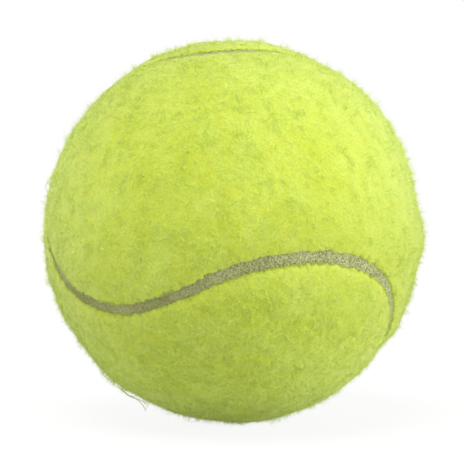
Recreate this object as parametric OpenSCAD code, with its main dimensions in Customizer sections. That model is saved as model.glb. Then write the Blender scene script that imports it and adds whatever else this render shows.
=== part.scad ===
/* [Core] */
// Outside diameter of the bare rubber core
core_diameter = 60; // [56:0.5:64]
// Thickness of the core's rubber wall
core_wall = 3.4; // [2.5:0.1:5]
// Thickness of the glue film between the two core halves
core_glue = 0.3; // [0.1:0.05:0.6]
// Radius of the bead of glue that the joint squeezes out inside the core
glue_bead = 0.6; // [0.4:0.1:1.2]
// Thickness of the rubber cement coat over the whole core
cement_coat = 0.15; // [0.1:0.05:0.4]

/* [Cover] */
// Thickness of the glue coat on the back of each felt panel
panel_glue = 0.15; // [0.1:0.05:0.4]
// Thickness of the woven cloth under the nap
base_cloth = 1; // [0.5:0.1:1.5]
// Height of the raised nap above the woven cloth
nap_height = 2.2; // [1.2:0.1:3.5]
// Radius of the nap's rounded edge along the seam
nap_edge = 0.8; // [0.3:0.1:1.1]

/* [Seam] */
// Width of the rubber seam between the two panels
seam_width = 1.8; // [1:0.1:3]
// Depth of the seam's face below the top of the nap
seam_recess = 1; // [0.4:0.1:2]
// Degrees that each lobe's centre leans off the cover's middle: more gives narrower waists
lobe_lean = 6.5; // [0:0.5:25]

/* [Cover position] */
// Degrees that the cover is turned about the ball's X axis, first
cover_turn_x = 67.7; // [-180:0.1:180]
// Degrees that the cover is turned about the ball's Y axis, second
cover_turn_y = 25.3; // [-180:0.1:180]
// Degrees that the cover is turned about the ball's Z axis, third
cover_turn_z = 59.4; // [-180:0.1:180]

/* [Hidden] */

// The layers' radii, from the hollow inside out
hollow_r = core_diameter / 2 - core_wall;
core_r = core_diameter / 2;
cement_r = core_r + cement_coat;
glue_r = cement_r + panel_glue;
cloth_r = glue_r + base_cloth;
nap_r = cloth_r + nap_height;
seam_r = nap_r - seam_recess;

// The seam's centre line is four equal arcs of circles on the ball, one round each lobe.
// Arcs join smoothly in the cover's middle plane only when they have this angular radius.
lobe_angle = acos(cos(lobe_lean) / sqrt(2));
// Each arc runs this far to both sides of its lobe's tip
half_span = 90 + atan(sin(lobe_lean));
// Half of the seam's width, seen from the ball's centre
half_seam = asin(seam_width / 2 / seam_r);

// How far out the cutting shapes reach
reach = 2 * nap_r;
// Share of the nap's edge radius that its rounding disc stands in from the nap's faces
edge_inset_share = 0.95;

$fn = 128;

// Point at a distance from the centre, on a ray at an angle from the +Y axis
function ray(angle, distance) = distance * [sin(angle), cos(angle)];

// Flat ring between two radii
module ring(inner, outer) {
    difference() {
        circle(outer);
        circle(inner);
    }
}

// Slice between two rays from the centre
module slice(from, to) {
    polygon([[0, 0], ray(from, reach), ray((from + to) / 2, reach), ray(to, reach)]);
}

// Corner that rounding takes off a panel's outer edge. Its wall is the ray at wall_angle,
// and side is 1 where the seam lies at larger angles and -1 where it lies at smaller ones.
module edge_cut(outer, edge, wall_angle, side) {
    inset = edge_inset_share * edge;
    centre = ray(wall_angle - side * asin(inset / (outer - inset)), outer - inset);
    outward = ray(wall_angle, reach);
    sideways = side * ray(wall_angle + 90, edge + inset);
    difference() {
        polygon([centre, centre + sideways, centre + sideways + outward, centre + outward]);
        translate(centre) circle(edge);
    }
}

// Cross-section of a lobe, from its middle out to the seam
module lobe_section(inner, outer, edge) {
    wall_angle = lobe_angle - half_seam;
    difference() {
        intersection() {
            ring(inner, outer);
            slice(0, wall_angle);
        }
        if (edge > 0) edge_cut(outer, edge, wall_angle, 1);
    }
}

// Cross-section from the seam out over the waist that passes the lobe
module waist_section(inner, outer, edge) {
    wall_angle = lobe_angle + half_seam;
    difference() {
        intersection() {
            ring(inner, outer);
            slice(wall_angle, 90 + 2 * lobe_lean + half_seam);
        }
        if (edge > 0) edge_cut(outer, edge, wall_angle, -1);
    }
}

// Sweeps a cross-section along the seam arc of the lobe on the +X side
module lobe_arc() {
    rotate([0, 90 + lobe_lean, 0]) rotate([0, 0, -half_span])
        rotate_extrude(angle = 2 * half_span) children();
}

// Turns one panel's place into the other's
module other_panel() {
    rotate(180, [1, 1, 0]) children();
}

// One layer of a felt panel: two lobes joined by a waist that crosses the +Z axis.
// The waist lies between the other panel's lobes, and its halves meet in the middle.
module panel_layer(inner, outer, edge = 0) {
    for (turn = [0, 180]) rotate([0, 0, turn]) lobe_arc() lobe_section(inner, outer, edge);
    for (turn = [0, 180]) rotate([0, 0, turn]) intersection() {
        other_panel() lobe_arc() waist_section(inner, outer, edge);
        translate([-reach, 0, -reach]) cube([2 * reach, reach, 2 * reach]);
    }
}

// Turns the cover to where the ball shows its seam
module cover_place() {
    rotate([cover_turn_x, cover_turn_y, cover_turn_z]) children();
}

// Hollow half of the core, standing on its glue film
module core_half() {
    rotate_extrude() intersection() {
        ring(hollow_r, core_r);
        translate([0, core_glue / 2]) square(reach);
    }
}

module upper_core_half() {
    color([0.16, 0.16, 0.17]) core_half();
}

module lower_core_half() {
    color([0.16, 0.16, 0.17]) rotate([180, 0, 0]) core_half();
}

// Glue film between the core's halves, with the bead that it leaves inside
module core_glue_ring() {
    color([0.62, 0.5, 0.3]) rotate_extrude() {
        intersection() {
            circle(core_r);
            translate([hollow_r - glue_bead / 2, -core_glue / 2])
                square([core_wall + glue_bead, core_glue]);
        }
        intersection() {
            circle(hollow_r);
            translate([hollow_r, 0]) circle(glue_bead);
        }
    }
}

module core_cement_coat() {
    color([0.72, 0.64, 0.45]) difference() {
        sphere(cement_r);
        sphere(core_r);
    }
}

module upper_panel_glue_coat() {
    color([0.66, 0.58, 0.4]) cover_place() panel_layer(cement_r, glue_r);
}

module upper_panel_base_cloth() {
    color([0.86, 0.86, 0.62]) cover_place() panel_layer(glue_r, cloth_r);
}

module upper_panel_nap() {
    color([0.8, 0.88, 0.33]) cover_place() panel_layer(cloth_r, nap_r, nap_edge);
}

module lower_panel_glue_coat() {
    color([0.66, 0.58, 0.4]) cover_place() other_panel() panel_layer(cement_r, glue_r);
}

module lower_panel_base_cloth() {
    color([0.86, 0.86, 0.62]) cover_place() other_panel() panel_layer(glue_r, cloth_r);
}

module lower_panel_nap() {
    color([0.76, 0.84, 0.3]) cover_place() other_panel() panel_layer(cloth_r, nap_r, nap_edge);
}

// Rubber cement along all four arcs, from the core's coat up to the recessed face
module seam_band() {
    color([0.6, 0.57, 0.4]) cover_place() difference() {
        sphere(seam_r);
        sphere(cement_r);
        panel_layer(core_r, nap_r);
        other_panel() panel_layer(core_r, nap_r);
    }
}

upper_core_half();
lower_core_half();
core_glue_ring();
core_cement_coat();
upper_panel_glue_coat();
upper_panel_base_cloth();
upper_panel_nap();
lower_panel_glue_coat();
lower_panel_base_cloth();
lower_panel_nap();
seam_band();
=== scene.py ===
"""Tennis ball: felt cover with loose fibres and a grainy rubber seam, dressed over the CAD solids."""
import math

import bpy
import numpy as np
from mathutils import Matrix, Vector


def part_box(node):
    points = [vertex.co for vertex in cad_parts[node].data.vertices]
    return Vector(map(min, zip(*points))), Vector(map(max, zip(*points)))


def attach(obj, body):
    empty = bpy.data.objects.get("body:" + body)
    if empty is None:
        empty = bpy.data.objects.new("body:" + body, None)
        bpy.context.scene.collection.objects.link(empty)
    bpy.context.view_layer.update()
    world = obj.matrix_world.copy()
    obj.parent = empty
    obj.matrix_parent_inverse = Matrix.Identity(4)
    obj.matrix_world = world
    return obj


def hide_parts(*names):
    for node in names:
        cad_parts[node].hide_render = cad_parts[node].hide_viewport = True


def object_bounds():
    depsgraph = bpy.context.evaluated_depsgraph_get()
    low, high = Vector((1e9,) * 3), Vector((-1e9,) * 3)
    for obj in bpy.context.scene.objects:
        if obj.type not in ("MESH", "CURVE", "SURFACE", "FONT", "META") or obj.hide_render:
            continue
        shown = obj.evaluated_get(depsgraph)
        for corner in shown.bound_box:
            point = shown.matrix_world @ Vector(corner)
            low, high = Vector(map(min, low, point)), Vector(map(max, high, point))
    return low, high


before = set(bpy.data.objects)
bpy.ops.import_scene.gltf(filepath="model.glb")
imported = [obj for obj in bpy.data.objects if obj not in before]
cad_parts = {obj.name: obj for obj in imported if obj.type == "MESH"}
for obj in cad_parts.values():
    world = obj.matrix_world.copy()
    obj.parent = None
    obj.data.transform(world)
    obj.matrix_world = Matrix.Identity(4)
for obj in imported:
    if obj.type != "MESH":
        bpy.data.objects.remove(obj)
cad_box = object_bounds()

# Units
MM = 0.001

# Photograph and camera
PHOTO_WIDTH = 464
PHOTO_HEIGHT = 467
BALL_CENTRE_PX = (232.7, 231.1)
BALL_RADIUS_PX = 189.8
CAMERA_RADII = 6.5
SENSOR_WIDTH = 36.0

# Radii of the cover, read from the frame
NAP_R = max(cad_box[1])
CLOTH_R = max(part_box("upper_panel_base_cloth")[1])
CEMENT_R = max(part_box("core_cement_coat")[1])

# Seam and cover, laid out as in the solids. The seam's face is less deep than theirs, because here the felt
# slopes down to it.
SEAM_RECESS = 0.8 * MM
SEAM_WIDTH = 1.8 * MM
LOBE_LEAN = math.radians(6.5)
COVER_TURN = [math.radians(angle) for angle in (67.7, 25.3, 59.4)]
SEAM_R = NAP_R - SEAM_RECESS
LOBE_ANGLE = math.acos(math.cos(LOBE_LEAN) / math.sqrt(2))
HALF_SPAN = math.pi / 2 + math.atan(math.sin(LOBE_LEAN))

# Nets: steps along a side of the felt's outer and inner net, rings of its wall, steps and columns of the seam
FELT_STEPS = 122
INNER_STEPS = 30
WALL_RINGS = 3
SEAM_STEPS = 640
SEAM_COLUMNS = 16

# Small turn, in radians, over which slopes are measured
SMALL_TURN = 1e-4

# Felt: how far it lies below the solids, its edge, where it is pressed down, and the height of its relief
FELT_SINK = 0.14 * MM
LIP_ROUND = 0.08 * MM
ROLL_DROP = 0.2 * MM
ROLL_WIDTH = 1.0 * MM
SHOULDER_DROP = 0.45 * MM
SHOULDER_WIDTH = 4.5 * MM
CALM_WIDTH = 3.5 * MM
CALM_LEAST = 0.3
LUMP_HEIGHT = 0.11 * MM
TUFT_HEIGHT = 0.1 * MM
GRAIN_HEIGHT = 0.07 * MM

# Swells and dents along the outline that the photograph shows: degrees round from its right, height, and
# spread in degrees
OUTLINE_SWELLS = [
    (2, 0.25 * MM, 4), (10, -0.43 * MM, 6), (15, -0.45 * MM, 8), (48, 0.3 * MM, 9), (65, 0.3 * MM, 4),
    (84, 0.35 * MM, 5), (101, 0.25 * MM, 4), (117, 0.5 * MM, 5), (142, -0.25 * MM, 5), (161, -0.25 * MM, 7),
    (173, 0.15 * MM, 4), (187, -0.1 * MM, 4), (200, -0.15 * MM, 4), (216, -0.3 * MM, 5), (233, 0.2 * MM, 6),
    (256, 0.15 * MM, 5), (280, 0.5 * MM, 9), (300, 0.4 * MM, 5), (316, 0.25 * MM, 3), (327, 0.4 * MM, 4),
    (343, -0.3 * MM, 7), (356, 0.4 * MM, 3),
]

# Where the hand-laid seam strays: pixel of the photograph, shift towards the lower panel, and spread
SEAM_NUDGES = [
    ((394, 326), 2.6 * MM, 10.0 * MM), ((389, 300), -0.68 * MM, 6.0 * MM), ((345, 258), -0.42 * MM, 6.0 * MM),
    ((349, 260), 0.3 * MM, 3.0 * MM), ((290, 259), 0.15 * MM, 5.0 * MM), ((215, 276), 0.28 * MM, 11.0 * MM),
    ((188, 290), 0.4 * MM, 2.5 * MM), ((166, 299), -0.5 * MM, 4.0 * MM), ((100, 306), -0.22 * MM, 6.0 * MM),
    ((90, 302), -0.3 * MM, 2.5 * MM), ((56, 266), -0.5 * MM, 5.0 * MM), ((50, 248), -0.6 * MM, 5.0 * MM),
    ((190, 57), -2.5 * MM, 9.0 * MM), ((235, 49), -2.4 * MM, 9.0 * MM), ((285, 52), 0.5 * MM, 9.0 * MM),
]

# Loose loops at the outline: degrees round from the photograph's right to start and end, how far they hang
# off, seed, and how far their lowest point leans towards the end
STRAY_CURLS = [
    (229.5, 244.5, 2.0 * MM, 1, 3.0), (231, 244, 1.3 * MM, 2, 1.8), (229, 241, 1.0 * MM, 3, 1.0),
    (231, 238, 0.8 * MM, 9, 1.3), (224, 233, 0.8 * MM, 4, 1.0), (308, 316, 0.8 * MM, 5, 1.0),
    (160, 171, 0.6 * MM, 6, 1.0), (93, 99, 0.4 * MM, 7, 1.0), (205, 214, 0.5 * MM, 8, 1.0),
]
CURL_THICKNESS = 0.12 * MM

# Where the seam is wider or narrower: pixel of the photograph, change of half width, and spread
SEAM_SWELLS = [
    ((390, 308), -0.22 * MM, 4.5 * MM), ((58, 272), -0.1 * MM, 4.0 * MM), ((315, 257), 0.15 * MM, 11.0 * MM),
    ((210, 280), 0.15 * MM, 4.0 * MM), ((250, 50), 0.35 * MM, 8.0 * MM),
]

# Where the felt is rougher or smoother: pixel of the photograph, change of relief, and spread
ROUGH_SPOTS = [((225, 370), 1.2, 13.0 * MM), ((370, 185), -0.85, 18.0 * MM), ((100, 200), -0.5, 13.0 * MM)]

# Distance to both sides at which the slope of the felt under a fibre is taken
SLOPE_STEP = 0.15 * MM

# Fibres: how many in a piece, points along each, length, width, and rise above the felt
LYING = {"count": 29000, "points": 4, "length": 1.15 * MM, "width": 0.07 * MM, "rise": 0.1 * MM}
CURLY = {"count": 2600, "points": 9, "length": 4.2 * MM, "width": 0.055 * MM, "rise": 0.25 * MM}
LONG = {"count": 60, "points": 18, "length": 11.0 * MM, "width": 0.09 * MM, "rise": 0.15 * MM}
FUZZ = {"count": 46000, "points": 3, "length": 1.0 * MM, "width": 0.035 * MM}
TUFTS = dict(FUZZ, length=0.6 * MM, hairs=24, spread=0.4 * MM)
FRAY = dict(FUZZ, count=9000, length=1.5 * MM, width=0.06 * MM)
LONGEST_HAIR = 1.45 * MM

# How far inside a panel's edge its fibres root, and how far at most the frayed hairs do
ROOT_INSET = 0.05 * MM
FRAY_INSET = 0.35 * MM
# How far the roots of fibres and of hairs lie under the felt's surface
FIBRE_SINK = 0.05 * MM
HAIR_SINK = 0.08 * MM

# Turns of the lying fibres, in radians: swirl that neighbours share, own heading, curl, its change, and roll
SWIRL = 3
OWN_HEADING = 1.4
CURL = 0.45
CURL_CHANGE = 0.35
OWN_ROLL = 0.35
# Turn from the seam's middle that lies well inside the panel on that side
INTO_PANEL = 0.03


def rotation(turn):
    """Matrix that turns about X, then Y, then Z"""
    (ca, cb, cc), (sa, sb, sc) = np.cos(turn), np.sin(turn)
    about_x = np.array([[1, 0, 0], [0, ca, -sa], [0, sa, ca]])
    about_y = np.array([[cb, 0, sb], [0, 1, 0], [-sb, 0, cb]])
    about_z = np.array([[cc, -sc, 0], [sc, cc, 0], [0, 0, 1]])
    return about_z @ about_y @ about_x


COVER = rotation(COVER_TURN)


def unit(vectors):
    """The vectors, each scaled to length 1"""
    return vectors / np.linalg.norm(vectors, axis=-1, keepdims=True)


class Noise:
    """Smooth seeded gradient noise in space, from about -1 to 1, with cells measured in ball radii"""

    def __init__(self, seed):
        rng = np.random.default_rng(seed)
        self.order = np.concatenate([rng.permutation(256)] * 2)
        self.slopes = unit(rng.normal(size=(256, 3)))
        self.shift = rng.uniform(0, 100, 3)

    def __call__(self, points, cell):
        spot = points / cell + self.shift
        base = np.floor(spot).astype(int)
        part = spot - base
        fade = part ** 3 * (part * (part * 6 - 15) + 10)
        total = np.zeros(len(points))
        for dx in (0, 1):
            for dy in (0, 1):
                for dz in (0, 1):
                    step = np.array([dx, dy, dz])
                    i, j, k = ((base + step) & 255).T
                    slope = self.slopes[self.order[self.order[self.order[i] + j] + k]]
                    weight = np.prod(np.where(step, fade, 1 - fade), axis=1)
                    total += weight * np.sum(slope * (part - step), axis=1)
        return 1.6 * total


wander_noise = Noise(3)
lump_noise = Noise(5)
tuft_noise = Noise(8)
grain_noise = Noise(13)
edge_noise = Noise(21)
flow_noise = Noise(34)


def lobe_axes(panel):
    """Centres of a panel's two lobes. Panel 1 is the upper one and panel -1 the lower one"""
    lean, side = math.sin(LOBE_LEAN), math.cos(LOBE_LEAN)
    if panel > 0:
        axes = [[side, 0, -lean], [-side, 0, -lean]]
    else:
        axes = [[0, side, lean], [0, -side, lean]]
    return np.array(axes) @ COVER.T


def lobe_gap(directions, panel):
    """Angle from each direction to the nearer lobe centre of a panel"""
    nearest = np.max(directions @ lobe_axes(panel).T, axis=1)
    return np.arccos(np.clip(nearest, -1, 1))


def spot_at(pixel):
    """Direction of the ball's surface point that the photograph shows at a pixel"""
    focal_px = BALL_RADIUS_PX * math.sqrt(CAMERA_RADII ** 2 - 1)
    ray = [(pixel[0] - BALL_CENTRE_PX[0]) / focal_px, 1, (BALL_CENTRE_PX[1] - pixel[1]) / focal_px]
    ray = unit(np.array(ray))
    eye = np.array([0, -CAMERA_RADII, 0])
    middle = -np.dot(ray, eye)
    reach = middle - math.sqrt(max(0, 1 - CAMERA_RADII ** 2 + middle ** 2))
    return unit(eye + reach * ray)


def seam_wander(directions):
    """How far the seam strays from its four arcs, in metres"""
    total = 0.12 * MM * wander_noise(directions, 0.35)
    for pixel, shift, spread in SEAM_NUDGES:
        gap = NAP_R * np.linalg.norm(directions - spot_at(pixel), axis=1)
        total += shift * np.exp(-0.5 * (gap / spread) ** 2)
    return total


def seam_distance(directions):
    """Distance along the surface to the seam's middle: above 0 in the upper panel"""
    above = directions @ COVER[:, 2] >= 0
    away = lobe_gap(directions, -1) - LOBE_ANGLE
    within = LOBE_ANGLE - lobe_gap(directions, 1)
    return NAP_R * np.where(above, away, within) + seam_wander(directions)


def ragged_edge(directions):
    """How far the felt's edge strays from a clean cut, in metres"""
    return MM * (0.16 * edge_noise(directions, 0.05) + 0.42 * edge_noise(directions, 0.018))


def seam_half_width(directions):
    """Half of the seam's width, which varies a little, and where the photograph shows it"""
    half = SEAM_WIDTH / 2 + 0.08 * MM * wander_noise(directions, 0.12)
    for pixel, swell, spread in SEAM_SWELLS:
        gap = NAP_R * np.linalg.norm(directions - spot_at(pixel), axis=1)
        half += swell * np.exp(-0.5 * (gap / spread) ** 2)
    return half


def panel_depth(directions, panel):
    """Distance in from a felt panel's edge: below 0 outside the panel"""
    return panel * seam_distance(directions) - seam_half_width(directions)


def calm_edge(depth):
    """Share of the felt's relief and fuzz that stays towards the edge, where the felt is pressed down"""
    share = np.clip(depth / CALM_WIDTH, 0, 1)
    return CALM_LEAST + (1 - CALM_LEAST) * share * share * (3 - 2 * share)


def outline_swell(directions):
    """The outline's own swells and dents, which fade towards the front and back"""
    turn = np.degrees(np.arctan2(directions[:, 2], directions[:, 0]))
    fade = np.exp(-(directions[:, 1] / 0.35) ** 2)
    total = np.zeros(len(directions))
    for angle, height, spread in OUTLINE_SWELLS:
        gap = (turn - angle + 180) % 360 - 180
        total += height * np.exp(-0.5 * (gap / spread) ** 2)
    return total * fade


def roughness_share(directions):
    """Strength of the felt's relief from place to place"""
    share = np.ones(len(directions))
    for pixel, change, spread in ROUGH_SPOTS:
        gap = NAP_R * np.linalg.norm(directions - spot_at(pixel), axis=1)
        share += change * np.exp(-0.5 * (gap / spread) ** 2)
    return share


def clump_share(directions):
    """Length of the fuzz from place to place: it stands in tufts"""
    tufts = 0.45 + 1.1 * tuft_noise(directions, 0.045) + 0.8 * flow_noise(directions, 0.018)
    return np.clip(tufts, 0.1, 1.6)


def felt_height(directions):
    """Height of the felt's relief above its mean surface, in metres"""
    lumps = lump_noise(directions, 0.22) + 0.6 * lump_noise(directions, 0.1)
    tufts = tuft_noise(directions, 0.05) + 0.5 * tuft_noise(directions, 0.025)
    grain = grain_noise(directions, 0.014)
    relief = LUMP_HEIGHT * lumps + TUFT_HEIGHT * tufts + GRAIN_HEIGHT * grain
    return relief * roughness_share(directions) + outline_swell(directions)


def geodesic(steps):
    """Directions and triangles of an even net over the whole ball"""
    long, short = (1 + math.sqrt(5)) / 2, 1
    corners = []
    for a in (-short, short):
        for b in (-long, long):
            corners += [[0, a, b], [a, b, 0], [b, 0, a]]
    corners = unit(np.array(corners, float))
    reach = np.linalg.norm(corners[:, None] - corners[None], axis=2)
    side = np.min(reach[reach > 0.01])
    near = np.abs(reach - side) < 0.01
    points, faces, count = [], [], 0
    for i in range(12):
        for j in range(i + 1, 12):
            for k in range(j + 1, 12):
                if not (near[i, j] and near[j, k] and near[i, k]):
                    continue
                a, b, c = corners[i], corners[j], corners[k]
                if np.dot(np.cross(b - a, c - a), a) < 0:
                    b, c = c, b
                rows, cols = np.array([(r, q) for r in range(steps + 1) for q in range(r + 1)]).T
                grid = a + np.outer(rows, b - a) / steps + np.outer(cols, c - b) / steps
                points.append(unit(grid))
                number = {(r, q): n for n, (r, q) in enumerate(zip(rows, cols))}
                for r in range(steps):
                    for q in range(r + 1):
                        low = number[r + 1, q]
                        faces.append((count + number[r, q], count + low, count + low + 1))
                        if q < r:
                            faces.append((count + number[r, q], count + low + 1, count + number[r, q] + 1))
                count += len(grid)
    points = np.vstack(points)
    faces = np.array(faces)
    keys = np.round(points * 1e6).astype(np.int64)
    _, first, place = np.unique(keys, axis=0, return_index=True, return_inverse=True)
    return points[first], place.reshape(-1)[faces]


def settle_edge(points, faces, depth_of):
    """Moves the net's points that lie close to a panel's edge onto it, and returns every depth"""
    depth = depth_of(points)
    edge_length = NAP_R * np.linalg.norm(points[faces[0, 0]] - points[faces[0, 1]])
    for attempt in range(2):
        close = np.abs(depth) < 0.3 * edge_length
        spots = points[close]
        east, north = tangents(spots)
        slope_east = (depth_of(unit(spots + SMALL_TURN * east)) - depth[close]) / SMALL_TURN
        slope_north = (depth_of(unit(spots + SMALL_TURN * north)) - depth[close]) / SMALL_TURN
        steep = slope_east ** 2 + slope_north ** 2
        move = -(depth[close] / steep)[:, None] * (slope_east[:, None] * east + slope_north[:, None] * north)
        points[close] = unit(spots + move)
        depth[close] = depth_of(points[close])
    depth[close] = 0
    return depth


def cut_net(points, faces, depth):
    """The part of the net with depth above 0, cut along its edge, and its boundary loops"""
    inside = depth[faces] > 0
    outside = depth[faces] < 0
    whole = faces[~outside.any(axis=1) & inside.any(axis=1)]
    mixed = faces[outside.any(axis=1) & inside.any(axis=1)]
    points = list(points)
    cuts, extra = {}, []
    for face in mixed:
        ring = []
        for start, end in zip(face, np.roll(face, -1)):
            if depth[start] >= 0:
                ring.append(start)
            if depth[start] * depth[end] < 0:
                key = (min(start, end), max(start, end))
                if key not in cuts:
                    share = depth[start] / (depth[start] - depth[end])
                    cuts[key] = len(points)
                    points.append(points[start] + share * (points[end] - points[start]))
                ring.append(cuts[key])
        extra += [(ring[0], ring[n], ring[n + 1]) for n in range(1, len(ring) - 1)]
    faces = np.vstack([whole, np.array(extra)])
    used, place = np.unique(faces, return_inverse=True)
    return unit(np.array(points)[used]), place.reshape(faces.shape)


def boundary_loops(faces):
    """Closed rings of the points along the net's open edges, in the order of its faces"""
    edges = np.vstack([faces[:, [0, 1]], faces[:, [1, 2]], faces[:, [2, 0]]])
    known = {tuple(edge) for edge in edges.tolist()}
    follow = {a: b for a, b in known if (b, a) not in known}
    loops = []
    while follow:
        start, point = next(iter(follow.items()))
        loop = [start]
        del follow[start]
        while point != start:
            loop.append(point)
            point = follow.pop(point)
        loops.append(loop)
    return loops


def link(points, faces, loop_a, loop_b):
    """Triangles that join two loops of the same direction, whatever the number of their points"""
    start = loop_a[0]
    nearest = int(np.argmin(np.linalg.norm(points[loop_b] - points[start], axis=1)))
    loop_b = loop_b[nearest:] + loop_b[:nearest]
    ring_a = loop_a + loop_a[:1]
    ring_b = loop_b + loop_b[:1]
    i = j = 0
    while i < len(loop_a) or j < len(loop_b):
        if j == len(loop_b):
            step_a = True
        elif i == len(loop_a):
            step_a = False
        else:
            gap_a = np.linalg.norm(points[ring_a[i + 1]] - points[ring_b[j]])
            gap_b = np.linalg.norm(points[ring_b[j + 1]] - points[ring_a[i]])
            step_a = gap_a < gap_b
        if step_a:
            faces.append((ring_a[i + 1], ring_a[i], ring_b[j]))
            i += 1
        else:
            faces.append((ring_a[i], ring_b[j], ring_b[j + 1]))
            j += 1


def make_object(name, points, faces, smooth=True):
    """A new mesh object from points in metres and triangles or quads"""
    mesh = bpy.data.meshes.new(name)
    mesh.from_pydata(points.tolist(), [], np.asarray(faces).tolist())
    mesh.polygons.foreach_set("use_smooth", [smooth] * len(mesh.polygons))
    mesh.update()
    piece = bpy.data.objects.new(name, mesh)
    bpy.context.collection.objects.link(piece)
    return piece


def edge_drop(depth):
    """How far the felt falls towards its edge: a wide low shoulder, a rolled edge and a small round lip"""
    shoulder = np.clip(1 - depth / SHOULDER_WIDTH, 0, 1)
    roll = np.clip(1 - depth / ROLL_WIDTH, 0, 1)
    lip = np.clip(1 - depth / LIP_ROUND, 0, 1)
    return SHOULDER_DROP * shoulder ** 2 + ROLL_DROP * roll ** 2 + LIP_ROUND * (1 - np.sqrt(1 - lip ** 2))


def surface(directions, depth):
    """Radius of the felt's outer surface at a depth in from the panel's edge"""
    depth = np.clip(depth, 0, None)
    return NAP_R - FELT_SINK + felt_height(directions) * calm_edge(depth) - edge_drop(depth)


net_points, net_faces = geodesic(FELT_STEPS)
inner_points, inner_faces = geodesic(INNER_STEPS)


def felt_panel(name, panel):
    """One felt panel: lumpy outer surface, ragged rounded edge, wall and plain inner face"""
    def ragged_depth(directions):
        return panel_depth(directions, panel) + ragged_edge(directions)

    outer = net_points.copy()
    depth = settle_edge(outer, net_faces, ragged_depth)
    outer, faces = cut_net(outer, net_faces, depth)
    depth = np.clip(ragged_depth(outer), 0, None)
    loop = boundary_loops(faces)[0]
    points = outer * surface(outer, depth)[:, None]

    # The wall goes down from the outer edge to the cloth
    faces = [tuple(face) for face in faces.tolist()]
    rim = points[loop]
    rim_r = np.linalg.norm(rim, axis=1, keepdims=True)
    for ring in range(1, WALL_RINGS + 1):
        share = ring / WALL_RINGS
        level = rim / rim_r * (rim_r + share * (CLOTH_R - rim_r))
        below = list(range(len(points), len(points) + len(loop)))
        points = np.vstack([points, level])
        for n in range(len(loop)):
            after = (n + 1) % len(loop)
            faces.append((loop[after], loop[n], below[n]))
            faces.append((loop[after], below[n], below[after]))
        loop = below

    # The inner face lies on the cloth and is coarser
    inner = inner_points.copy()
    depth = settle_edge(inner, inner_faces, lambda directions: panel_depth(directions, panel))
    inner, coarse = cut_net(inner, inner_faces, depth)
    coarse = coarse + len(points)
    points = np.vstack([points, inner * CLOTH_R])
    faces += [(a, c, b) for a, b, c in coarse.tolist()]
    link(points, faces, loop, boundary_loops(coarse)[0])
    return make_object(name, points, faces)


def seam_line(steps):
    """Directions along the seam's middle, once round, and directions across it"""
    turn = np.linspace(-HALF_SPAN, HALF_SPAN, steps, endpoint=False)[:, None]
    lean, side = math.sin(LOBE_LEAN), math.cos(LOBE_LEAN)
    centre = np.array([side, 0, -lean])
    tip = np.array([-lean, 0, -side])
    across = np.array([0, 1, 0])
    lobe = math.cos(LOBE_ANGLE) * centre
    lobe = lobe + math.sin(LOBE_ANGLE) * (np.cos(turn) * tip + np.sin(turn) * across)
    end = np.array([[1, 1, 0]]) / math.sqrt(2)
    swapped = np.vstack([lobe, end])[:, [1, 0, 2]] * [1, 1, -1]
    first = lobe
    second = swapped[:0:-1]
    third = (np.vstack([lobe, end]) * [-1, 1, 1])[:0:-1]
    fourth = (swapped * [1, -1, 1])[:-1]
    line = np.vstack([first, second, third, fourth]) @ COVER.T
    along = unit(np.roll(line, -1, axis=0) - np.roll(line, 1, axis=0))
    sideways = np.cross(line, along)
    for attempt in range(2):
        ahead = seam_distance(unit(line + SMALL_TURN * sideways))
        slope = (ahead - seam_distance(line)) / SMALL_TURN
        line = unit(line - (seam_distance(line) / slope)[:, None] * sideways)
    along = unit(np.roll(line, -1, axis=0) - np.roll(line, 1, axis=0))
    return line, np.cross(line, along)


def seam_piece(name):
    """The rubber seam: a closed band with a grainy face, sunk between the felt panels"""
    line, sideways = seam_line(SEAM_STEPS)
    half = 0.75 * SEAM_WIDTH
    rows = []
    for share in np.linspace(-1, 1, SEAM_COLUMNS):
        spots = unit(line + share * half / NAP_R * sideways)
        grain = 0.07 * grain_noise(spots, 0.009) + 0.05 * tuft_noise(spots, 0.02)
        rows.append(spots * (SEAM_R + MM * grain - 0.15 * MM * share ** 2)[:, None])
    for share in (1, 0.33, -0.33, -1):
        spots = unit(line + share * half / NAP_R * sideways)
        rows.append(spots * (CEMENT_R + 0.3 * MM))
    points = np.vstack(rows)
    count = len(line)
    faces = []
    for row in range(len(rows)):
        after_row = (row + 1) % len(rows)
        for n in range(count):
            after = (n + 1) % count
            here, there = row * count, after_row * count
            faces.append((here + n, here + after, there + after, there + n))
    return make_object(name, points, faces)


def tangents(directions):
    """Two directions along the surface at each point, square to each other"""
    helper = np.where(np.abs(directions[:, 2:]) < 0.9, [[0.0, 0.0, 1.0]], [[1.0, 0.0, 0.0]])
    east = unit(np.cross(helper, directions))
    return east, np.cross(directions, east)


def ribbons(name, centres, across, half):
    """Thin tapered ribbons along rows of centres, one column for each fibre"""
    rows, count = half.shape
    left = centres - half[..., None] * across
    right = centres + half[..., None] * across
    points = np.concatenate([left, right]).reshape(-1, 3)
    number = np.arange(count)
    faces = []
    for n in range(rows - 1):
        here, there, other = n * count + number, (n + 1) * count + number, rows * count
        faces.append(np.column_stack([here, there, there + other, here + other]))
    return make_object(name, points, np.vstack(faces))


def scatter(panel, seed, count):
    """Random generator and evenly scattered root directions on a panel"""
    rng = np.random.default_rng(seed)
    roots = unit(rng.normal(size=(count * 3, 3)))
    return rng, roots[panel_depth(roots, panel) > ROOT_INSET][:count]



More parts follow.
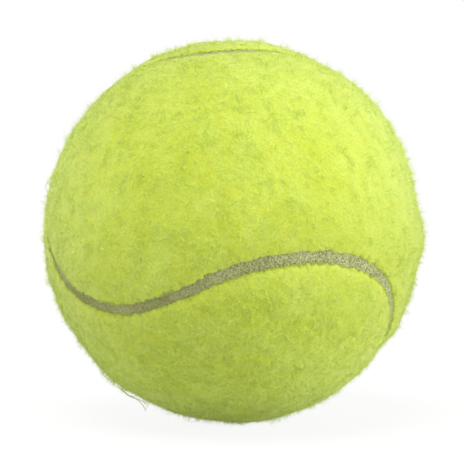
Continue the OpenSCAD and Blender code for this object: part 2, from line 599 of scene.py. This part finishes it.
def lying_fibres(name, panel, seed, kind):
    """Curly fibres that lie along the felt and lift at their ends"""
    rng, roots = scatter(panel, seed, kind["count"])
    count, rows = len(roots), kind["points"]
    east, north = tangents(roots)
    heading = SWIRL * flow_noise(roots, 0.12) + rng.normal(scale=OWN_HEADING, size=count)
    step = kind["length"] * np.exp(rng.normal(scale=0.4, size=count)) / (rows - 1)
    curl = rng.normal(scale=CURL, size=count)
    rise = kind["rise"] * np.abs(rng.normal(size=count)) ** 1.5 * roughness_share(roots)
    spot = roots
    ahead = np.cos(heading)[:, None] * east + np.sin(heading)[:, None] * north
    spots, aheads = [spot], [ahead]
    for n in range(1, rows):
        turn = (curl + rng.normal(scale=CURL_CHANGE, size=count))[:, None]
        ahead = np.cos(turn) * ahead + np.sin(turn) * np.cross(spot, ahead)
        spot = unit(spot + (step / NAP_R)[:, None] * ahead)
        ahead = unit(ahead - np.sum(ahead * spot, axis=1, keepdims=True) * spot)
        spots.append(spot)
        aheads.append(ahead)
    spots, aheads = np.array(spots), np.array(aheads)
    flat = spots.reshape(-1, 3)
    flat_depth = panel_depth(flat, panel)
    depth = flat_depth.reshape(rows, count)
    keep = depth.min(axis=0) > -MM * rng.uniform(0.1, 0.6, count)
    along = np.linspace(0, 1, rows)[:, None]
    height = surface(flat, flat_depth).reshape(rows, count)
    height = height - FIBRE_SINK + rise * (1.6 * along - 0.6 * along ** 2)
    middle = spots[rows // 2]
    side = np.cross(middle, aheads[rows // 2])
    left, right = unit(middle - SLOPE_STEP / NAP_R * side), unit(middle + SLOPE_STEP / NAP_R * side)
    climb = surface(right, panel_depth(right, panel)) - surface(left, panel_depth(left, panel))
    tilt = np.arctan(climb / (2 * SLOPE_STEP))
    roll = (tilt + rng.normal(scale=OWN_ROLL, size=count))[None, :, None]
    across = np.cos(roll) * np.cross(spots, aheads) + np.sin(roll) * spots
    thickness = kind["width"] * np.exp(rng.normal(scale=0.3, size=count))
    half = 0.5 * thickness * np.sqrt(np.clip(1.05 - along ** 2, 0, 1))
    return ribbons(name, (spots * height[..., None])[:, keep], across[:, keep], half[:, keep])


def loose_fuzz(name, panel, seed, kind):
    """Short fine hairs that stand off the felt in all directions and soften its outline"""
    rng, roots = scatter(panel, seed, kind["count"])
    count = len(roots)
    east, north = tangents(roots)
    heading = (6 * flow_noise(roots, 0.04) + rng.normal(scale=0.9, size=count))[:, None]
    side = np.cos(heading) * east + np.sin(heading) * north
    lean = rng.uniform(5, 75, count)
    length = kind["length"] * clump_share(roots)
    return standing_hairs(name, panel, kind, rng, roots, side, lean, length)


def tufted_fuzz(name, panel, seed, kind):
    """Short fine hairs that lean together into tufts, each tuft of its own height"""
    rng, centres = scatter(panel, seed, kind["count"] // kind["hairs"])
    own = np.repeat(np.arange(len(centres)), kind["hairs"])
    centre = centres[own]
    roots = unit(centre + kind["spread"] / NAP_R * rng.normal(size=centre.shape))
    inside = panel_depth(roots, panel) > ROOT_INSET
    own, centre, roots = own[inside], centre[inside], roots[inside]
    inward = centre - roots
    inward = unit(inward - np.sum(inward * roots, axis=1, keepdims=True) * roots)
    lean = 12 + 25 * rng.normal(size=len(roots))
    length = kind["length"] * np.exp(rng.normal(scale=0.5, size=len(centres)))[own]
    return standing_hairs(name, panel, kind, rng, roots, inward, lean, length)


def frayed_edge(name, panel, seed, kind):
    """Short hairs along a panel's edge that reach out over the seam"""
    rng = np.random.default_rng(seed)
    line, _ = seam_line(SEAM_STEPS)
    place = rng.uniform(0, len(line), kind["count"])
    before = place.astype(int)
    share = (place - before)[:, None]
    after = (before + 1) % len(line)
    middle = unit((1 - share) * line[before] + share * line[after])
    out = np.cross(middle, unit(line[after] - line[before]))
    out *= np.sign(panel_depth(unit(middle + INTO_PANEL * out), panel))[:, None]
    inset = seam_half_width(middle) + rng.uniform(0.0, FRAY_INSET, len(place))
    roots = unit(middle + (inset / NAP_R)[:, None] * out)
    along = np.cross(out, middle)
    heading = rng.normal(scale=0.6, size=len(place))[:, None]
    side = -np.cos(heading) * out + np.sin(heading) * along
    lean = rng.uniform(45, 85, len(place))
    length = kind["length"] * np.exp(edge_noise(roots, 0.03))
    return standing_hairs(name, panel, kind, rng, roots, side, lean, length)


def standing_hairs(name, panel, kind, rng, roots, side, lean, length):
    """Hairs from the felt at their roots, leaning sideways by degrees and then bending"""
    count, rows = len(roots), kind["points"]
    lean = np.radians(lean)[:, None]
    bend = np.radians(rng.uniform(-50, 60, count))[:, None]
    depth = panel_depth(roots, panel)
    length = length * np.exp(rng.normal(scale=0.35, size=count))
    length = np.minimum(length, LONGEST_HAIR) * calm_edge(depth)
    step = (length / (rows - 1))[:, None]
    spot = roots * (surface(roots, depth) - HAIR_SINK)[:, None]
    centres, aheads = [spot], []
    for n in range(rows):
        angle = lean + bend * n / (rows - 1)
        ahead = np.cos(angle) * roots + np.sin(angle) * side
        aheads.append(ahead)
        if n < rows - 1:
            spot = spot + step * ahead
            centres.append(spot)
    across = unit(np.cross(aheads, rng.normal(size=(1, count, 3))))
    along = np.linspace(0, 1, rows)[:, None]
    thickness = kind["width"] * np.exp(rng.normal(scale=0.25, size=count))
    half = 0.5 * thickness * (1 - 0.75 * along)
    return ribbons(name, np.array(centres), across, half)


def stray_curls(name):
    """Long loops of loose fibre that hang off the outline, each with both ends in the felt"""
    steps, sides = 40, 3
    points, faces = [], []
    for first, last, bulge, seed, lean in STRAY_CURLS:
        rng = np.random.default_rng(seed)
        along = np.linspace(0, 1, steps)
        phases = rng.uniform(0, 2 * math.pi, 4)
        wave = np.sin(math.pi * along)
        share = 1 - (1 - along) ** lean
        turn = np.radians(first + (last - first) * share + 0.8 * wave * np.sin(9 * along + phases[0]))
        drift = 0.02 * rng.normal() + 0.03 * wave * np.sin(5 * along + phases[1])
        spots = unit(np.column_stack([np.cos(turn), drift, np.sin(turn)]))
        lift = bulge * wave ** 0.8 * (1 + 0.25 * np.sin(11 * along + phases[2])) - 0.3 * MM * (1 - wave)
        centres = spots * (NAP_R + felt_height(spots) + lift)[:, None]
        ahead = unit(np.gradient(centres, axis=0))
        side = np.cross(ahead, [0, 1, 0])
        up = np.cross(ahead, side)
        start = sum(len(part) for part in points)
        for k in range(sides):
            angle = 2 * math.pi * k / sides
            points.append(centres + 0.5 * CURL_THICKNESS * (math.cos(angle) * side + math.sin(angle) * up))
        for k in range(sides):
            here, there = start + k * steps, start + (k + 1) % sides * steps
            faces += [(here + n, here + n + 1, there + n + 1, there + n) for n in range(steps - 1)]
    return make_object(name, np.vstack(points), faces)


# Materials

def new_material(name):
    """A new node material, its tree, its Principled shader and the place in object space"""
    material = bpy.data.materials.new(name)
    material.use_nodes = True
    nodes = material.node_tree.nodes
    shader = nodes["Principled BSDF"]
    place = nodes.new("ShaderNodeTexCoord")
    return material, material.node_tree, shader, place.outputs["Object"]


def add_noise(tree, place, scale, detail=3.0, roughness=0.55):
    """A noise texture in object space"""
    node = tree.nodes.new("ShaderNodeTexNoise")
    node.inputs["Scale"].default_value = scale
    node.inputs["Detail"].default_value = detail
    node.inputs["Roughness"].default_value = roughness
    tree.links.new(place, node.inputs["Vector"])
    return node.outputs["Fac"]


def add_ramp(tree, source, stops):
    """A colour ramp with (place, colour) stops"""
    node = tree.nodes.new("ShaderNodeValToRGB")
    ramp = node.color_ramp
    while len(ramp.elements) < len(stops):
        ramp.elements.new(0.5)
    for element, (spot, colour) in zip(ramp.elements, stops):
        element.position = spot
        element.color = (*colour, 1)
    tree.links.new(source, node.inputs["Fac"])
    return node.outputs["Color"]


def add_mix(tree, kind, amount, first, second):
    """A colour mix of two sockets"""
    node = tree.nodes.new("ShaderNodeMix")
    node.data_type = "RGBA"
    node.blend_type = kind
    if isinstance(amount, float):
        node.inputs[0].default_value = amount
    else:
        tree.links.new(amount, node.inputs[0])
    tree.links.new(first, node.inputs[6])
    tree.links.new(second, node.inputs[7])
    return node.outputs[2]


def add_fade(tree, place, start, end, top):
    """A value that falls from top to 0 between two places along the ball's X axis"""
    split = tree.nodes.new("ShaderNodeSeparateXYZ")
    tree.links.new(place, split.inputs[0])
    node = tree.nodes.new("ShaderNodeMapRange")
    node.inputs["From Min"].default_value = start
    node.inputs["From Max"].default_value = end
    node.inputs["To Min"].default_value = top
    node.inputs["To Max"].default_value = 0.0
    tree.links.new(split.outputs["X"], node.inputs["Value"])
    return node.outputs["Result"]


def add_bump(tree, shader, source, distance):
    """Bump from a height source"""
    node = tree.nodes.new("ShaderNodeBump")
    node.inputs["Strength"].default_value = 1.0
    node.inputs["Distance"].default_value = distance
    tree.links.new(source, node.inputs["Height"])
    tree.links.new(node.outputs["Normal"], shader.inputs["Normal"])


def felt_material(name, deep, middle, pale, bump):
    """Dyed wool felt: mottled yellow-green with a soft sheen"""
    material, tree, shader, place = new_material(name)
    patches = add_noise(tree, place, 110, 4)
    colour = add_ramp(tree, patches, [(0.3, deep), (0.5, middle), (0.7, pale)])
    clumps = add_noise(tree, place, 380, 4, 0.6)
    mottle = add_ramp(tree, clumps, [(0.32, (0.97, 0.955, 0.62)), (0.68, (1.0, 1.0, 1.0))])
    colour = add_mix(tree, "MULTIPLY", 1.0, colour, mottle)
    specks = add_noise(tree, place, 3000, 2)
    shade = add_ramp(tree, specks, [(0.34, (0.9, 0.89, 0.5)), (0.64, (1.0, 1.0, 1.0))])
    colour = add_mix(tree, "MULTIPLY", 1.0, colour, shade)
    tree.links.new(colour, shader.inputs["Base Color"])
    shader.inputs["Roughness"].default_value = 0.92
    shader.inputs["Specular IOR Level"].default_value = 0.2
    shader.inputs["Sheen Weight"].default_value = 0.6
    shader.inputs["Sheen Roughness"].default_value = 0.55
    shader.inputs["Sheen Tint"].default_value = (0.88, 1.0, 0.62, 1)
    if bump:
        add_bump(tree, shader, add_noise(tree, place, 2200, 4), bump)
    return material


def seam_material(name):
    """Grey-brown rubber cement, speckled and paler towards the ball's +X side, plainer and darker towards its
    -X side
    """
    material, tree, shader, place = new_material(name)
    grain = add_noise(tree, place, 3800, 2, 0.6)
    stops = [(0.38, (0.23, 0.24, 0.08)), (0.48, (0.4, 0.42, 0.16)), (0.6, (0.63, 0.655, 0.37))]
    speckled = add_ramp(tree, grain, stops)
    patches = add_noise(tree, place, 180, 2)
    plain = add_ramp(tree, patches, [(0.35, (0.28, 0.283, 0.095)), (0.65, (0.395, 0.398, 0.15))])
    colour = add_mix(tree, "MIX", add_fade(tree, place, -12 * MM, 14 * MM, 0.6), speckled, plain)
    shade = add_ramp(tree, patches, [(0.3, (0.84, 0.84, 0.76)), (0.7, (1.0, 1.0, 1.0))])
    colour = add_mix(tree, "MULTIPLY", 1.0, colour, shade)
    tree.links.new(colour, shader.inputs["Base Color"])
    shader.inputs["Roughness"].default_value = 0.75
    shader.inputs["Specular IOR Level"].default_value = 0.3
    add_bump(tree, shader, grain, 0.12 * MM)
    return material


def inner_material(name, dark, light, scale, rough):
    """Plain moulded rubber, glue or cement with a fine mottle"""
    material, tree, shader, place = new_material(name)
    mottle = add_noise(tree, place, scale, 4)
    tree.links.new(add_ramp(tree, mottle, [(0.35, dark), (0.65, light)]), shader.inputs["Base Color"])
    shader.inputs["Roughness"].default_value = rough
    add_bump(tree, shader, mottle, 0.05 * MM)
    return material


def cloth_material(name):
    """Woven backing cloth with crossing yarns"""
    material, tree, shader, place = new_material(name)
    weaves = []
    for direction in ("X", "Z"):
        node = tree.nodes.new("ShaderNodeTexWave")
        node.bands_direction = direction
        node.inputs["Scale"].default_value = 420
        node.inputs["Distortion"].default_value = 0.6
        tree.links.new(place, node.inputs["Vector"])
        weaves.append(node.outputs["Color"])
    weave = add_mix(tree, "DIFFERENCE", 1.0, weaves[0], weaves[1])
    colour = add_ramp(tree, weave, [(0.1, (0.44, 0.46, 0.2)), (0.8, (0.68, 0.7, 0.36))])
    tree.links.new(colour, shader.inputs["Base Color"])
    shader.inputs["Roughness"].default_value = 0.9
    add_bump(tree, shader, weave, 0.1 * MM)
    return material


def dress_node(node, material):
    """Gives a CAD node that stays its material"""
    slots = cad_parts[node].material_slots
    for slot in slots:
        slot.material = material


def dress_hidden():
    """Materials of the layers under the felt, which show only when the ball is taken apart"""
    rubber = inner_material("core_rubber_moulded", (0.03, 0.03, 0.034), (0.06, 0.06, 0.065), 300, 0.6)
    glue = inner_material("core_glue_amber", (0.3, 0.2, 0.07), (0.42, 0.3, 0.13), 400, 0.4)
    cement = inner_material("rubber_cement_coat", (0.38, 0.3, 0.14), (0.52, 0.42, 0.22), 350, 0.65)
    cloth = cloth_material("backing_cloth")
    for node in ("upper_core_half", "lower_core_half"):
        dress_node(node, rubber)
    dress_node("core_glue_ring", glue)
    for node in ("core_cement_coat", "upper_panel_glue_coat", "lower_panel_glue_coat"):
        dress_node(node, cement)
    for node in ("upper_panel_base_cloth", "lower_panel_base_cloth"):
        dress_node(node, cloth)


# Colours of the dyed wool, from its crevices to its loose ends: darker towards the crevices as painted shade,
# paler towards the loose ends as painted light
DEEP = (0.625, 0.739, 0.08)
GREEN = (0.65, 0.77, 0.115)
MIDDLE = (0.69, 0.816, 0.148)
BRIGHT = (0.71, 0.845, 0.195)
PALE = (0.732, 0.87, 0.25)
TIP = (0.78, 0.92, 0.34)
# Paler and bluer colour of the fine fuzz: painted light, standing in for light that shines through the hairs
# from behind
FUZZ_PAINTED_LIGHT = (0.735, 0.885, 0.34)


def add_piece(piece, material):
    """Gives a piece its material and its place in the ball"""
    piece.data.materials.append(material)
    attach(piece, "root")


def build_cover():
    """Felt panels, fibres and seam"""
    # The nap takes the darkest colours and the loose fibres the palest: painted shade in the crevices and
    # painted light on the loose ends
    felt = felt_material("felt_nap_dyed", DEEP, GREEN, MIDDLE, 0.15 * MM)
    fibre = felt_material("felt_fibre_dyed", MIDDLE, BRIGHT, PALE, 0)
    # Fuzz material: its pale colour is painted light shining through the hairs
    fuzz = felt_material("felt_fuzz_painted_light", FUZZ_PAINTED_LIGHT, FUZZ_PAINTED_LIGHT, FUZZ_PAINTED_LIGHT, 0)
    loose = felt_material("felt_fibre_loose", BRIGHT, PALE, TIP, 0)
    for label, panel in (("upper", 1), ("lower", -1)):
        nap = felt_panel(label + "_felt_nap", panel)
        add_piece(nap, felt)
        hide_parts(label + "_panel_nap")
        for batch in (1, 2, 3):
            name = label + "_felt_fibres_" + str(batch)
            add_piece(lying_fibres(name, panel, 100 + 10 * batch + panel, LYING), fibre)
        add_piece(lying_fibres(label + "_curly_fibres", panel, 200 + panel, CURLY), fibre)
        add_piece(lying_fibres(label + "_long_fibres", panel, 250 + panel, LONG), loose)
        add_piece(loose_fuzz(label + "_loose_fuzz", panel, 310 + panel, FUZZ), fuzz)
        add_piece(tufted_fuzz(label + "_tufted_fuzz", panel, 320 + panel, TUFTS), fuzz)
        add_piece(frayed_edge(label + "_frayed_edge", panel, 330 + panel, FRAY), fibre)
    add_piece(stray_curls("stray_curls"), loose)
    seam = seam_piece("rubber_seam")
    add_piece(seam, seam_material("seam_rubber_grainy"))
    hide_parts("seam_band")


# Stage, camera and light

# Even light from all round, beside the lamps
FILL = 0.31

# Floor: half its width and its gap under the solids, the colour and glow that light the ball, the colour that
# takes its shadow, its glow for the camera near the ball and far off, and how far off that is
FLOOR_SIZE = 6.0
FLOOR_GAP = 0.5 * MM
FLOOR_COLOUR = 0.55
FLOOR_LIGHT = 0.2
FLOOR_SHADE = 0.1
FLOOR_GLOW_NEAR = 0.9
FLOOR_GLOW_FAR = 1.0
FLOOR_FAR = 1.2

# Lamps: name, place, and power in watts
LAMP_SIZE = 0.5
LAMPS = [
    ("lamp_top", (-0.12, -0.38, 0.81), 6.35),
    ("lamp_right", (0.85, -0.25, 0.16), 5.4),
    ("lamp_left", (-0.87, 0.0, 0.02), 1.7),
    ("lamp_back", (-0.2, 0.86, 0.3), 2.5),
]


def build_camera():
    """Camera at the photograph's distance, level with the ball's centre"""
    data = bpy.data.cameras.new("camera")
    camera = bpy.data.objects.new("camera", data)
    bpy.context.collection.objects.link(camera)
    focal_px = BALL_RADIUS_PX * math.sqrt(CAMERA_RADII ** 2 - 1)
    longest = max(PHOTO_WIDTH, PHOTO_HEIGHT)
    data.sensor_width = SENSOR_WIDTH
    data.lens = focal_px * SENSOR_WIDTH / longest
    data.shift_x = (PHOTO_WIDTH / 2 - BALL_CENTRE_PX[0]) / longest
    data.shift_y = (BALL_CENTRE_PX[1] - PHOTO_HEIGHT / 2) / longest
    data.clip_start = 0.01
    camera.location = (0, -CAMERA_RADII * NAP_R, 0)
    camera.rotation_euler = (math.pi / 2, 0, 0)
    bpy.context.scene.camera = camera


def ray_switch(tree):
    """1 for rays that come straight from the camera, or by a mirror or glass"""
    path = tree.nodes.new("ShaderNodeLightPath")
    total = path.outputs["Is Camera Ray"]
    for kind in ("Is Glossy Ray", "Is Transmission Ray"):
        node = tree.nodes.new("ShaderNodeMath")
        node.operation = "MAXIMUM"
        tree.links.new(total, node.inputs[0])
        tree.links.new(path.outputs[kind], node.inputs[1])
        total = node.outputs[0]
    return total


def build_world():
    """White to the camera, a soft even fill for the object"""
    world = bpy.data.worlds.new("studio")
    world.use_nodes = True
    tree = world.node_tree
    fill = tree.nodes["Background"]
    fill.inputs["Color"].default_value = (1, 1, 1, 1)
    fill.inputs["Strength"].default_value = FILL
    white = tree.nodes.new("ShaderNodeBackground")
    white.inputs["Color"].default_value = (1, 1, 1, 1)
    white.inputs["Strength"].default_value = 1.0
    mix = tree.nodes.new("ShaderNodeMixShader")
    tree.links.new(ray_switch(tree), mix.inputs[0])
    tree.links.new(fill.outputs[0], mix.inputs[1])
    tree.links.new(white.outputs[0], mix.inputs[2])
    tree.links.new(mix.outputs[0], tree.nodes["World Output"].inputs["Surface"])
    bpy.context.scene.world = world


def build_floor():
    """A wide pale floor that shows white where it is lit and keeps the ball's shadow"""
    size = FLOOR_SIZE
    level = -NAP_R - FLOOR_GAP
    sides = [(-size, -size), (size, -size), (size, size), (-size, size)]
    corners = np.array([(x, y, level) for x, y in sides])
    floor = make_object("floor", corners, [(0, 1, 2, 3)], smooth=False)
    material = bpy.data.materials.new("floor_pale")
    material.use_nodes = True
    tree = material.node_tree
    bounce = tree.nodes["Principled BSDF"]
    bounce.inputs["Base Color"].default_value = (FLOOR_COLOUR, FLOOR_COLOUR, FLOOR_COLOUR, 1)
    bounce.inputs["Emission Color"].default_value = (1, 1, 1, 1)
    bounce.inputs["Emission Strength"].default_value = FLOOR_LIGHT
    bounce.inputs["Roughness"].default_value = 1.0
    bounce.inputs["Specular IOR Level"].default_value = 0.0
    shade = tree.nodes.new("ShaderNodeBsdfDiffuse")
    shade.inputs["Color"].default_value = (FLOOR_SHADE, FLOOR_SHADE, FLOOR_SHADE, 1)
    glow = tree.nodes.new("ShaderNodeEmission")
    glow.inputs["Color"].default_value = (1, 1, 1, 1)
    place = tree.nodes.new("ShaderNodeTexCoord")
    reach = tree.nodes.new("ShaderNodeVectorMath")
    reach.operation = "LENGTH"
    tree.links.new(place.outputs["Object"], reach.inputs[0])
    power = tree.nodes.new("ShaderNodeMapRange")
    power.inputs["From Min"].default_value = 0.0
    power.inputs["From Max"].default_value = FLOOR_FAR
    power.inputs["To Min"].default_value = FLOOR_GLOW_NEAR
    power.inputs["To Max"].default_value = FLOOR_GLOW_FAR
    tree.links.new(reach.outputs["Value"], power.inputs["Value"])
    tree.links.new(power.outputs["Result"], glow.inputs["Strength"])
    seen = tree.nodes.new("ShaderNodeAddShader")
    tree.links.new(shade.outputs[0], seen.inputs[0])
    tree.links.new(glow.outputs[0], seen.inputs[1])
    mix = tree.nodes.new("ShaderNodeMixShader")
    tree.links.new(ray_switch(tree), mix.inputs[0])
    tree.links.new(bounce.outputs[0], mix.inputs[1])
    tree.links.new(seen.outputs[0], mix.inputs[2])
    tree.links.new(mix.outputs[0], tree.nodes["Material Output"].inputs["Surface"])
    floor.data.materials.append(material)


def add_lamp(name, place, power):
    """A square soft lamp that faces the ball"""
    data = bpy.data.lights.new(name, "AREA")
    data.shape = "SQUARE"
    data.size = LAMP_SIZE
    data.energy = power
    lamp = bpy.data.objects.new(name, data)
    bpy.context.collection.objects.link(lamp)
    lamp.location = place
    lamp.rotation_euler = (-Vector(place)).to_track_quat("-Z", "Y").to_euler()


def build_light():
    """Soft lamps from above and from the right, weaker ones from the left and back"""
    for lamp in LAMPS:
        add_lamp(*lamp)


build_camera()
build_world()
build_floor()
build_light()
build_cover()
dress_hidden()
bpy.context.scene.view_settings.view_transform = "Standard"
